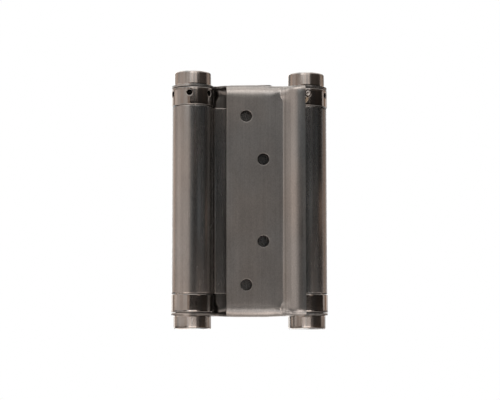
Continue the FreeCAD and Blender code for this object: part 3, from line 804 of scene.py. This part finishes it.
# ------------------------------------------------------------------ turned pieces
def lathe(name, x, profile, count=144, wobble=None):
    """Revolves an (r, z) profile about the barrel axis at x. Ends on the axis are closed."""
    verts, faces, rows = [], [], []
    for r, z in profile:
        if r < 1e-6:
            rows.append([len(verts)])
            verts.append((x, 0.0, z))
            continue
        row = []
        for i in range(count):
            a = 2 * math.pi * i / count
            rr = r + (wobble(a, z) if wobble else 0.0)
            row.append(len(verts))
            verts.append((x + rr * math.cos(a), rr * math.sin(a), z))
        rows.append(row)
    for p, q in zip(rows, rows[1:]):
        for i in range(count):
            j = (i + 1) % count
            if len(p) == 1:
                faces.append((p[0], q[j], q[i]))
            elif len(q) == 1:
                faces.append((p[i], p[j], q[0]))
            else:
                faces.append((p[i], p[j], q[j], q[i]))
    obj = new_object(name, verts, faces)
    bm = bmesh.new()
    bm.from_mesh(obj.data)
    bmesh.ops.recalc_face_normals(bm, faces=bm.faces)
    bm.to_mesh(obj.data)
    bm.free()
    return obj


def round_corner(r0, z0, r, quadrant, count=6):
    """Quarter arc of radius r inside the corner (r0, z0); quadrant gives the outward signs."""
    sr, sz = quadrant
    cx, cz = r0 - sr * r, z0 - sz * r
    pts = []
    for i in range(count + 1):
        a = math.pi / 2 * i / count
        pts.append((cx + sr * r * math.cos(a), cz + sz * r * math.sin(a)))
    return pts


def build_cap(name, node, x, upper, body):
    foot, head = (EAR_TOP, 112.2) if upper else (EAR_LOW, 0.0)
    s = 1.0 if upper else -1.0
    rad, crown = 8.15, 8.05 if upper else 8.12
    pts = [(3.02, foot + s * 4.6), (3.02, foot + s * 0.15), (3.17, foot)]
    pts += [(5.5, foot), (rad - 0.15, foot), (rad - 0.04, foot + s * 0.04), (rad, foot + s * 0.15)]
    steps = 8
    rounding = 0.8
    for i in range(1, steps + 1):
        t = i / steps
        pts.append((rad + (crown - rad) * t, foot + s * (0.15 + (6.1 - 0.15 - rounding) * t)))
    pts += round_corner(crown, head, rounding, (1.0, s), 8)[1:]
    pts += [(crown - rounding - 0.6, head), (4.0, head), (0.0, head)]
    pts = [(0.0, foot + s * 4.6)] + pts
    obj = lathe(name, x, pts)
    shade(obj, 40)
    obj.data.materials.append(POLISHED)
    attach(obj, body)
    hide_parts(node)


for side, x, body in (("left", -AXIS, "frame_side"), ("right", AXIS, "door_side")):
    build_cap(side + "_top_cap_turned", side + "_top_cap", x, True, body)
    build_cap(side + "_bottom_cap_turned", side + "_bottom_cap", x, False, body)

PLUG_R, PLUG_LOW, PLUG_HIGH = 9.2, 7.25, 15.05
for side, x in (("left", -AXIS), ("right", AXIS)):
    pts = [(3.06, PLUG_LOW), (6.0, PLUG_LOW)]
    pts += round_corner(PLUG_R, PLUG_LOW, 0.4, (1.0, -1.0), 6)[::-1]
    pts += [(PLUG_R, PLUG_LOW + (PLUG_HIGH - PLUG_LOW) * k / 8) for k in range(1, 8)]
    pts += round_corner(PLUG_R, PLUG_HIGH, 0.4, (1.0, 1.0), 6)
    pts += [(7.97, PLUG_HIGH), (7.97, PLUG_HIGH + 5.8), (7.77, PLUG_HIGH + 6.0), (3.06, PLUG_HIGH + 6.0), (3.06, PLUG_LOW)]
    obj = lathe(side + "_anchor_ring", x, pts)
    shade(obj, 40)
    obj.data.materials.append(RING)
    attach(obj, "centre")
    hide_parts(side + "_anchor_plug")

COLLAR_R, COLLAR_LOW, COLLAR_HIGH = 9.3, 97.15, 104.95
TOMMY_Z, TOMMY_R, TOMMY_IN = 102.35, 1.24, 4.9


def build_collar(name, node, x, first, body):
    """Ring with six radial tommy holes; the outside is triangulated unrolled, then wrapped."""
    R = COLLAR_R
    low, high = COLLAR_LOW + 0.4, COLLAR_HIGH - 0.4
    around_len = 2 * math.pi * R
    count = 144
    pts, loops, wall_rings = [], [], []
    rim = 0.20
    sheet = []
    key = {}

    def add(s, z):
        k = (round(s, 5), round(z, 5))
        if k not in key:
            key[k] = len(sheet)
            sheet.append((s, z))
        return key[k]

    step = around_len / count
    outer = [add(i * step, low) for i in range(count + 1)]
    outer += [add(around_len, low + (high - low) * k / 8) for k in range(1, 9)]
    outer += [add(i * step, high) for i in range(count - 1, -1, -1)]
    outer += [add(0.0, low + (high - low) * k / 8) for k in range(7, 0, -1)]
    loops.append(outer)
    m = 40
    holes = []
    for h in range(6):
        c = (30.0 + 60.0 * h) / 360.0 * around_len
        holes.append(c)
        ring = []
        for i in range(m):
            a = 2 * math.pi * i / m
            u, v = (TOMMY_R + rim) * math.cos(a), (TOMMY_R + rim) * math.sin(a)
            ring.append(add(c + R * math.asin(u / R), TOMMY_Z + v))
        loops.append(ring)
        for r, k in ((TOMMY_R + rim + 0.25, 40), (TOMMY_R + rim + 0.6, 36)):
            for i in range(k):
                a = 2 * math.pi * i / k
                add(c + r * math.cos(a), TOMMY_Z + r * math.sin(a))
    for i in range(1, count):
        for k in range(1, 8):
            s, z = i * step, low + (high - low) * k / 8
            if all(math.hypot(s - c, z - TOMMY_Z) > TOMMY_R + rim + 0.8 for c in holes):
                add(s, z)
    vs, tris = triangulate(
        sheet,
        loops,
        lambda s, z: low < z < high
        and 0 < s < around_len
        and all(math.hypot(s - c, z - TOMMY_Z) > TOMMY_R + rim - 0.03 for c in holes),
    )
    start = math.radians(first - 30.0)
    verts, faces, seen = [], [], {}

    def put(px, py, pz):
        k = (round(px, 4), round(py, 4), round(pz, 4))
        if k not in seen:
            seen[k] = len(verts)
            verts.append((px, py, pz))
        return seen[k]

    def wrap(s, z, r=R):
        a = start + s / R
        return put(x + r * math.cos(a), r * math.sin(a), z)

    ids = [wrap(s, z) for s, z in vs]
    faces += [tuple(ids[i] for i in t) for t in tris]
    # end rounds, end faces and the spigot, as lathe rows on the same angles
    spokes = [i * step for i in range(count)]

    def rows(profile):
        prev = None
        for r, z in profile:
            row = [wrap(s, z, r) for s in spokes]
            if prev is not None:
                for i in range(count):
                    j = (i + 1) % count
                    faces.append((prev[i], prev[j], row[j], row[i]))
            prev = row

    top = round_corner(R, COLLAR_HIGH, 0.4, (1.0, 1.0), 6)
    rows(top + [(8.0, COLLAR_HIGH), (5.0, COLLAR_HIGH), (3.06, COLLAR_HIGH)])
    bottom = round_corner(R, COLLAR_LOW, 0.4, (1.0, -1.0), 6)
    rows(bottom + [(7.7, COLLAR_LOW), (7.7, COLLAR_LOW - 5.8), (7.5, COLLAR_LOW - 6.0), (3.06, COLLAR_LOW - 6.0)])
    # hole rims, walls and floors
    for h in range(6):
        a0 = start + holes[h] / R
        ex, ey = math.cos(a0), math.sin(a0)
        tx, ty = -math.sin(a0), math.cos(a0)

        def ring_at(r, rho_of):
            row = []
            for i in range(m):
                a = 2 * math.pi * i / m
                u, v = r * math.cos(a), r * math.sin(a)
                rho = rho_of(u)
                row.append(put(x + ex * rho + tx * u, ey * rho + ty * u, TOMMY_Z + v))
            return row

        def surface(u):
            return math.sqrt(R * R - u * u)

        chain = [ring_at(TOMMY_R + rim, surface)]
        for k in range(1, 5):
            b = math.pi / 2 * k / 4
            rr = TOMMY_R + rim - rim * math.sin(b)
            sink = rim * (1 - math.cos(b))
            chain.append(ring_at(rr, lambda u, sink=sink: surface(u) - sink))
        chain.append(ring_at(TOMMY_R, lambda u: 8.0))
        chain.append(ring_at(TOMMY_R, lambda u: TOMMY_IN + 0.25))
        chain.append(ring_at(TOMMY_R * 0.5, lambda u: TOMMY_IN))
        for p, q in zip(chain, chain[1:]):
            for i in range(m):
                j = (i + 1) % m
                faces.append((p[i], p[j], q[j], q[i]))
        faces.append(tuple(chain[-1]))
    obj = new_object(name, verts, faces)
    bm = bmesh.new()
    bm.from_mesh(obj.data)
    bmesh.ops.remove_doubles(bm, verts=bm.verts, dist=3e-6)
    bmesh.ops.recalc_face_normals(bm, faces=bm.faces)
    probe = max(bm.faces, key=lambda f: f.calc_center_median().z)
    if probe.normal.z < 0:
        bmesh.ops.reverse_faces(bm, faces=bm.faces)
    bm.to_mesh(obj.data)
    # painted shade: the bores' deep walls and floors get a near-black colour that stands in for the shade down in the
    # holes
    # the right collar takes the finish with the painted reflection below its pin
    obj.data.materials.append(RING_PAINTED_GLINT if x > 0 else RING)
    obj.data.materials.append(BORE_SHADE)
    for f in obj.data.polygons:
        c = f.center
        r = math.hypot(c.x - x * MM, c.y)
        if 4.5 * MM < r < 8.9 * MM and abs(c.z - TOMMY_Z * MM) < 1.3 * MM:
            f.material_index = 1
    bm.free()
    shade(obj, 40)
    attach(obj, body)
    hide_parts(node)


LEFT_PIN, RIGHT_PIN = 77.5, 268.4
build_collar("left_collar_ring", "left_tension_collar", -AXIS, LEFT_PIN, "left_tension")
build_collar("right_collar_ring", "right_tension_collar", AXIS, RIGHT_PIN, "right_tension")


def build_pin(name, node, x, turn, body):
    """Loose round pin: domed outer end with a rubbed rim."""
    prof = [(0.0, 5.2), (0.6, 5.2), (0.95, 5.3), (1.1, 5.55), (1.1, 8.0), (1.1, 10.66), (1.08, 10.8), (1.01, 10.92), (0.9, 10.98), (0.78, 11.0), (0.68, 10.97), (0.6, 10.88), (0.5, 10.82), (0.3, 10.8), (0.0, 10.8)]
    a = math.radians(turn)
    count = 32
    verts, faces, rows = [], [], []
    for r, rho in prof:
        if r == 0.0:
            rows.append([len(verts)])
            verts.append((x + rho * math.cos(a), rho * math.sin(a), TOMMY_Z))
            continue
        row = []
        for i in range(count):
            b = 2 * math.pi * i / count
            u, v = r * math.cos(b), r * math.sin(b)
            row.append(len(verts))
            verts.append((x + rho * math.cos(a) - u * math.sin(a), rho * math.sin(a) + u * math.cos(a), TOMMY_Z + v))
        rows.append(row)
    for p, q in zip(rows, rows[1:]):
        for i in range(count):
            j = (i + 1) % count
            if len(p) == 1:
                faces.append((p[0], q[j], q[i]))
            elif len(q) == 1:
                faces.append((p[i], p[j], q[0]))
            else:
                faces.append((p[i], p[j], q[j], q[i]))
    obj = new_object(name, verts, faces)
    bm = bmesh.new()
    bm.from_mesh(obj.data)
    bmesh.ops.recalc_face_normals(bm, faces=bm.faces)
    bm.to_mesh(obj.data)
    bm.free()
    shade(obj, 50)
    obj.data.materials.append(PIN)
    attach(obj, body)
    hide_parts(node)


build_pin("left_pin_round", "left_stop_pin", -AXIS, LEFT_PIN, "left_pin")
build_pin("right_pin_round", "right_stop_pin", AXIS, RIGHT_PIN, "right_pin")


for node, obj in frame["nodes"].items():
    if node in ("door_leaf", "frame_leaf", "centre_web"):
        mat = SATIN
    elif node.endswith("_spring"):
        mat = SPRING
    elif node.endswith("_pintle"):
        mat = PINTLE
    elif node.endswith("_washer"):
        mat = WASHER
    elif node.endswith("_stop_pin"):
        mat = PIN
    else:
        mat = POLISHED
    if not obj.material_slots:
        obj.data.materials.append(mat)
    else:
        for s in obj.material_slots:
            s.material = mat

# ------------------------------------------------------------------ floor
floor_mesh = bpy.data.meshes.new("floor")
F = 6.0
floor_mesh.from_pydata([(-F, -F, 0), (F, -F, 0), (F, F, 0), (-F, F, 0)], [], [(0, 1, 2, 3)])
floor = bpy.data.objects.new("floor", floor_mesh)
scene.collection.objects.link(floor)
fl = Nodes("floor_paper")
fl.bsdf.inputs["Base Color"].default_value = (0.86, 0.86, 0.86, 1.0)
fl.bsdf.inputs["Roughness"].default_value = 0.8
geo = fl.add("ShaderNodeNewGeometry")
clear = fl.add("ShaderNodeBsdfTransparent")
mixer = fl.add("ShaderNodeMixShader")
out = next(n for n in fl.tree.nodes if n.type == "OUTPUT_MATERIAL")
fl.link(geo.outputs["Backfacing"], mixer.inputs[0])
fl.link(fl.bsdf.outputs[0], mixer.inputs[1])
fl.link(clear.outputs[0], mixer.inputs[2])
fl.link(mixer.outputs[0], out.inputs[0])
floor_mesh.materials.append(fl.mat)
floor.visible_glossy = False  # what the object takes of the ground comes from soft cards
floor.visible_diffuse = False
floor.visible_shadow = False

# ------------------------------------------------------------------ light
world = bpy.data.worlds.new("studio")
scene.world = world
world.use_nodes = True
wt = world.node_tree
wt.nodes.clear()
w_out = wt.nodes.new("ShaderNodeOutputWorld")
w_cam = wt.nodes.new("ShaderNodeBackground")
w_cam.inputs[0].default_value = (1, 1, 1, 1)
w_cam.inputs[1].default_value = 1.0
w_env = wt.nodes.new("ShaderNodeBackground")
w_env.inputs[0].default_value = (1, 1, 1, 1)
w_env.inputs[1].default_value = 0.0
w_mix = wt.nodes.new("ShaderNodeMixShader")
w_path = wt.nodes.new("ShaderNodeLightPath")
wt.links.new(w_path.outputs["Is Camera Ray"], w_mix.inputs[0])
wt.links.new(w_env.outputs[0], w_mix.inputs[1])
wt.links.new(w_cam.outputs[0], w_mix.inputs[2])
wt.links.new(w_mix.outputs[0], w_out.inputs[0])


def panel(name, centre, size, target, radiance, colour=(1, 1, 1)):
    """Soft rectangular light facing target; radiance is what a mirror sees of it."""
    data = bpy.data.lights.new(name, "AREA")
    data.shape = "RECTANGLE"
    data.size, data.size_y = size
    data.color = colour
    data.energy = radiance * math.pi * size[0] * size[1]
    obj = bpy.data.objects.new(name, data)
    obj.location = centre
    aim = Vector(target) - Vector(centre)
    obj.rotation_euler = aim.to_track_quat("-Z", "Y").to_euler()
    obj.visible_camera = False
    scene.collection.objects.link(obj)
    return obj


# ---- rig: a tent of soft cards, none of them seen by the camera. Each row gives a card's
# place, then its brightness and tint for the satin pieces and for the polished ones.
PLAIN, COOL, CLEAR, SOFT = (1, 1, 1), (0.94, 0.98, 1.0), (0.84, 0.95, 1.0), (1, 0.94, 0.89)
WARM, TAN, BROWN = (1, 0.87, 0.79), (1, 0.79, 0.66), (1, 0.68, 0.5)

polished_only = bpy.data.collections.new("turned_pieces")
satin_only = bpy.data.collections.new("sheet_pieces")
ground_only = bpy.data.collections.new("ground")
ground_only.objects.link(floor)
for o in scene.objects:
    if o.type != "MESH" or o is floor:
        continue
    turned = o.name.endswith(("_cap_turned", "_anchor_ring", "_collar_ring", "_pin_round"))
    (polished_only if turned else satin_only).objects.link(o)


def both(make, name, for_satin, satin_tint, for_polished, polished_tint):
    """One card for each finish, lighting only that finish's pieces; a finish given no brightness gets no card."""
    for label, value, tint, receivers in (("satin", for_satin, satin_tint, satin_only), ("polished", for_polished, polished_tint, polished_only)):
        if value > 0:
            make(name + "_" + label, value, tint).light_linking.receiver_collection = receivers


def upright(name, a0, a1, z0, z1, radiance, colour, far=0.6):
    """Upright card spanning the directions a0 to a1 degrees right of the front."""
    a = math.radians(264.7 + (a0 + a1) / 2)
    wide = 2 * far * math.tan(math.radians((a1 - a0) / 2))
    mid = (z0 + z1) / 2
    return panel(name, (far * math.cos(a), far * math.sin(a), mid), (wide, z1 - z0), (0, 0, mid), radiance, colour)


def wall(name, p, q, z0, z1, radiance, colour):
    """Upright card close to the object, standing on the line p to q (mm)."""
    (ax, ay), (bx, by) = p, q
    cx, cy = (ax + bx) / 2 * MM, (ay + by) / 2 * MM
    nx, ny = by - ay, ax - bx
    if nx * cx + ny * cy > 0:
        nx, ny = -nx, -ny
    mid = (z0 + z1) / 2
    return panel(name, (cx, cy, mid), (math.hypot(bx - ax, by - ay) * MM, z1 - z0), (cx + nx, cy + ny, mid), radiance, colour)


def level(name, x0, x1, y0, y1, z, radiance, colour, up=False):
    """Level card facing down, or up."""
    o = panel(name, ((x0 + x1) / 2, (y0 + y1) / 2, z), (x1 - x0, y1 - y0), ((x0 + x1) / 2, (y0 + y1) / 2, z - 1), radiance, colour)
    o.rotation_euler = (math.pi, 0, 0) if up else (0, 0, 0)
    return o


# heights of the rings of cards, and how far off they stand (m)
RINGS = {
    "dn": (-0.10, -0.001, 0.6),
    "lo": (0.0008, 0.020, 0.6),
    "mid": (0.020, 0.207, 0.6),
    "up": (0.207, 0.45, 0.6),
    "hi": (0.45, 1.0, 0.6),
    "near0": (0.004, 0.030, 0.16),
    "near1": (0.030, 0.052, 0.16),
    "near2": (0.052, 0.072, 0.16),
    "near3": (0.072, 0.094, 0.16),
    "near4": (0.094, 0.120, 0.16),
}
for ring, a0, a1, *look in (
    ("dn", -180, -130, 0.36, WARM, 1.5, SOFT),
    ("dn", -90, -50, 0, PLAIN, 0.19, WARM),
    ("dn", -50, -30, 0.29, WARM, 0, PLAIN),
    ("dn", -30, -19, 0, PLAIN, 0.84, PLAIN),
    ("dn", -19, -8, 0, PLAIN, 2.2, WARM),
    ("dn", -8, 2, 0, PLAIN, 1.6, SOFT),
    ("dn", 2, 13, 0.3, WARM, 1.6, WARM),
    ("dn", 13, 24, 0.52, COOL, 1.6, WARM),
    ("dn", 24, 40, 0.91, WARM, 0.22, WARM),
    ("dn", 40, 60, 0.27, WARM, 0, PLAIN),
    ("dn", 60, 97, 0.58, WARM, 0, PLAIN),
    ("dn", 97, 130, 0, PLAIN, 0.15, WARM),
    ("dn", 130, 180, 0.33, WARM, 0.37, WARM),
    ("lo", -180, -130, 0, PLAIN, 0.89, SOFT),
    ("lo", -90, -50, 0, PLAIN, 0.33, TAN),
    ("lo", -50, -19, 0, PLAIN, 0.71, TAN),
    ("lo", 24, 60, 0.42, TAN, 0.081, WARM),
    ("lo", 60, 97, 0, PLAIN, 0.098, TAN),
    ("lo", 97, 130, 1.4, TAN, 0.33, TAN),
    ("lo", 130, 180, 0.63, WARM, 0.43, SOFT),
    ("mid", -180, -152, 2.7, COOL, 1.7, SOFT),
    ("mid", -152, -130, 0.91, SOFT, 1.1, PLAIN),
    ("mid", -130, -110, 0.62, BROWN, 0, PLAIN),
    ("mid", -110, -90, 0, PLAIN, 0.58, TAN),
    ("mid", -90, -70, 0.22, WARM, 0.37, TAN),
    ("mid", -70, -50, 0, PLAIN, 0.28, BROWN),
    ("mid", -50, -28, 0.027, CLEAR, 0.47, WARM),
    ("mid", -28, -15, 0, PLAIN, 0.23, BROWN),
    ("mid", -15, 0, 0.13, CLEAR, 0.02, TAN),
    ("mid", 0, 15, 0, PLAIN, 0.02, TAN),
    ("mid", 15, 30, 0, PLAIN, 0.02, TAN),
    ("mid", 30, 50, 0.019, CLEAR, 0.021, WARM),
    ("mid", 50, 70, 0.051, CLEAR, 0.02, TAN),
    ("mid", 70, 86, 0, PLAIN, 0.02, TAN),
    ("mid", 86, 98, 0, PLAIN, 0.02, TAN),
    ("mid", 98, 111, 0.31, SOFT, 0.54, WARM),
    ("mid", 111, 130, 0.35, BROWN, 0.33, BROWN),
    ("mid", 130, 152, 0.51, SOFT, 0.83, WARM),
    ("mid", 152, 180, 1.6, PLAIN, 0.65, COOL),
    ("up", -180, -150, 0.79, CLEAR, 2.3, SOFT),
    ("up", -150, -120, 0.64, CLEAR, 0.22, SOFT),
    ("up", -120, -90, 0, PLAIN, 0.099, BROWN),
    ("up", -90, -60, 0, PLAIN, 0.24, BROWN),
    ("up", -60, -40, 0, PLAIN, 0.28, TAN),
    ("up", -40, -19, 0.44, CLEAR, 0.42, WARM),
    ("up", -19, -8, 0, PLAIN, 0.8, SOFT),
    ("up", -8, 2, 0, PLAIN, 0.91, WARM),
    ("up", 2, 13, 0.35, SOFT, 0.56, SOFT),
    ("up", 13, 24, 0, PLAIN, 0.79, WARM),
    ("up", 24, 31, 0.52, PLAIN, 0.16, SOFT),
    ("up", 31, 64, 0, PLAIN, 0.067, TAN),
    ("up", 64, 97, 0, PLAIN, 0.055, TAN),
    ("up", 97, 106, 0, PLAIN, 0.23, TAN),
    ("up", 106, 130, 0, PLAIN, 0.34, TAN),
    ("up", 130, 152, 0, PLAIN, 0.12, BROWN),
    ("up", 152, 180, 0.28, WARM, 1.1, COOL),
    ("hi", -180, -120, 0.73, SOFT, 0.55, SOFT),
    ("hi", -120, -90, 0.4, SOFT, 0.55, SOFT),
    ("hi", -90, -60, 0.4, SOFT, 0.55, SOFT),
    ("hi", -60, -30, 1.5, SOFT, 0.58, CLEAR),
    ("hi", -30, 0, 0.4, SOFT, 0.55, SOFT),
    ("hi", 0, 30, 1.3, SOFT, 0.55, SOFT),
    ("hi", 30, 60, 0.4, SOFT, 0.55, SOFT),
    ("hi", 60, 120, 0.4, SOFT, 0.55, SOFT),
    ("hi", 120, 180, 1, SOFT, 0.95, SOFT),
    ("near1", 20, 38, 0, PLAIN, 0.42, TAN),
    ("near2", 20, 38, 0.14, CLEAR, 0, PLAIN),
    ("near2", 74, 96, 0.2, BROWN, 0, PLAIN),
    ("near3", 20, 38, 0.073, CLEAR, 0, PLAIN),
):
    z0, z1, far = RINGS[ring]
    both(lambda n, v, t: upright(n, a0, a1, z0, z1, v, t, far), "%s_%d" % (ring, a0 + 180), *look)

for name, p, q, z0, z1, *look in (
    ("near_left", (-47, -66), (-60, -30), 0.0008, 0.2, 0.54, WARM, 0.072, PLAIN),
    ("near_left_mid", (-60, -30), (-66, 10), 0.0008, 0.2, 0.52, WARM, 0.22, PLAIN),
    ("near_left_rear", (-66, 10), (-64, 50), 0.0008, 0.2, 0.13, CLEAR, 0.39, TAN),
    ("front_upper_left", (-60, -110), (-20, -110), 0.14, 0.22, 0.21, WARM, 0.96, SOFT),
    ("front_upper_mid", (-20, -110), (20, -110), 0.14, 0.22, 0, PLAIN, 0.46, WARM),
    ("front_upper_right", (20, -110), (60, -110), 0.14, 0.22, 0, PLAIN, 0.3, SOFT),
):
    both(lambda n, v, t: wall(n, p, q, z0, z1, v, t), name, *look)

for x0, x1, y0, y1, *look in (
    (-0.6, -0.2, -0.8, -0.35, 2.3, WARM, 0.45, SOFT),
    (-0.6, -0.2, -0.35, -0.12, 1.1, WARM, 0.25, SOFT),
    (-0.6, -0.2, -0.12, 0, 0.078, CLEAR, 0.25, SOFT),
    (-0.6, -0.2, 0, 0.3, 1.3, WARM, 0.74, WARM),
    (-0.6, -0.2, 0.3, 0.8, 0, PLAIN, 0.6, COOL),
    (-0.2, -0.05, -0.8, -0.35, 0, PLAIN, 0.45, SOFT),
    (-0.2, -0.05, -0.35, -0.12, 0.74, WARM, 0.57, WARM),
    (-0.2, -0.05, -0.12, 0, 1.1, WARM, 1.4, WARM),
    (-0.2, -0.05, 0, 0.3, 0.33, WARM, 1.1, WARM),
    (-0.2, -0.05, 0.3, 0.8, 0, PLAIN, 2.5, PLAIN),
    (-0.05, 0.05, -0.8, -0.35, 0.16, WARM, 0.45, SOFT),
    (-0.05, 0.05, -0.35, -0.12, 0.56, PLAIN, 0.25, SOFT),
    (-0.05, 0.05, -0.12, 0, 0.89, WARM, 1.2, WARM),
    (-0.05, 0.05, 0, 0.3, 0.36, WARM, 1.9, CLEAR),
    (-0.05, 0.05, 0.3, 0.8, 1.5, SOFT, 1.6, CLEAR),
    (0.05, 0.2, -0.8, -0.35, 0, PLAIN, 0.45, SOFT),
    (0.05, 0.2, -0.35, -0.12, 1.1, WARM, 0.25, SOFT),
    (0.05, 0.2, -0.12, 0, 1.7, WARM, 0.25, SOFT),
    (0.05, 0.2, 0, 0.3, 0.33, SOFT, 0.43, PLAIN),
    (0.05, 0.2, 0.3, 0.8, 1.7, SOFT, 2.8, PLAIN),
    (0.2, 0.6, -0.8, -0.35, 0, PLAIN, 0.45, SOFT),
    (0.2, 0.6, -0.35, -0.12, 0.32, WARM, 0.25, SOFT),
    (0.2, 0.6, -0.12, 0, 0.17, WARM, 0.25, SOFT),
    (0.2, 0.6, 0, 0.3, 0, PLAIN, 0.25, SOFT),
    (0.2, 0.6, 0.3, 0.8, 0.43, PLAIN, 0.87, SOFT),
):
    both(lambda n, v, t: level(n, x0, x1, y0, y1, -0.2, v, t, up=True), "ground_%d_%d" % (round(x0 * 100), round(y0 * 100)), *look)

for name, x0, x1, y0, y1, z, *look in (
    ("under_near", -0.05, 0.05, -0.05, 0.05, 0.0006, 0.048, CLEAR, 0.068, BROWN),
    ("top", -0.25, 0.25, -0.25, 0.25, 1.0, 0.69, SOFT, 1.6, COOL),
    ("top_front", -0.6, 0.6, -0.8, -0.25, 1.0, 0.4, WARM, 0.22, BROWN),
    ("top_rear", -0.6, 0.6, 0.25, 0.8, 1.0, 0.031, CLEAR, 0.46, WARM),
    ("top_near", -0.08, 0.08, -0.08, 0.08, 0.20, 0.36, SOFT, 0.29, SOFT),
):
    both(lambda n, v, t: level(n, x0, x1, y0, y1, z, v, t, up=name.startswith("under")), name, *look)

level("floor_wash", -6.0, 6.0, -6.0, 6.0, 3.0, 1.07, PLAIN).light_linking.receiver_collection = ground_only


# ------------------------------------------------------------------ camera
cam_data = bpy.data.cameras.new("camera")
cam = bpy.data.objects.new("camera", cam_data)
scene.collection.objects.link(cam)
cam_data.sensor_fit = "HORIZONTAL"
cam_data.sensor_width = 36.0
cam_data.lens = 1569.16 * 36.0 / 500.0
cam_data.clip_start, cam_data.clip_end = 0.01, 50.0
yaw, pitch, roll = 0.0937183, 0.0946339, -0.0008735
look = Vector((math.sin(yaw) * math.cos(pitch), math.cos(yaw) * math.cos(pitch), math.sin(pitch)))
right = look.cross(Vector((0, 0, 1))).normalized()
up = right.cross(look)
right, up = (
    math.cos(roll) * right + math.sin(roll) * up,
    -math.sin(roll) * right + math.cos(roll) * up,
)
turn = Matrix((right, up, -look)).transposed()
cam.matrix_world = Matrix.Translation((-0.0638521, -0.6810417, -0.0084736)) @ turn.to_4x4()
scene.camera = cam
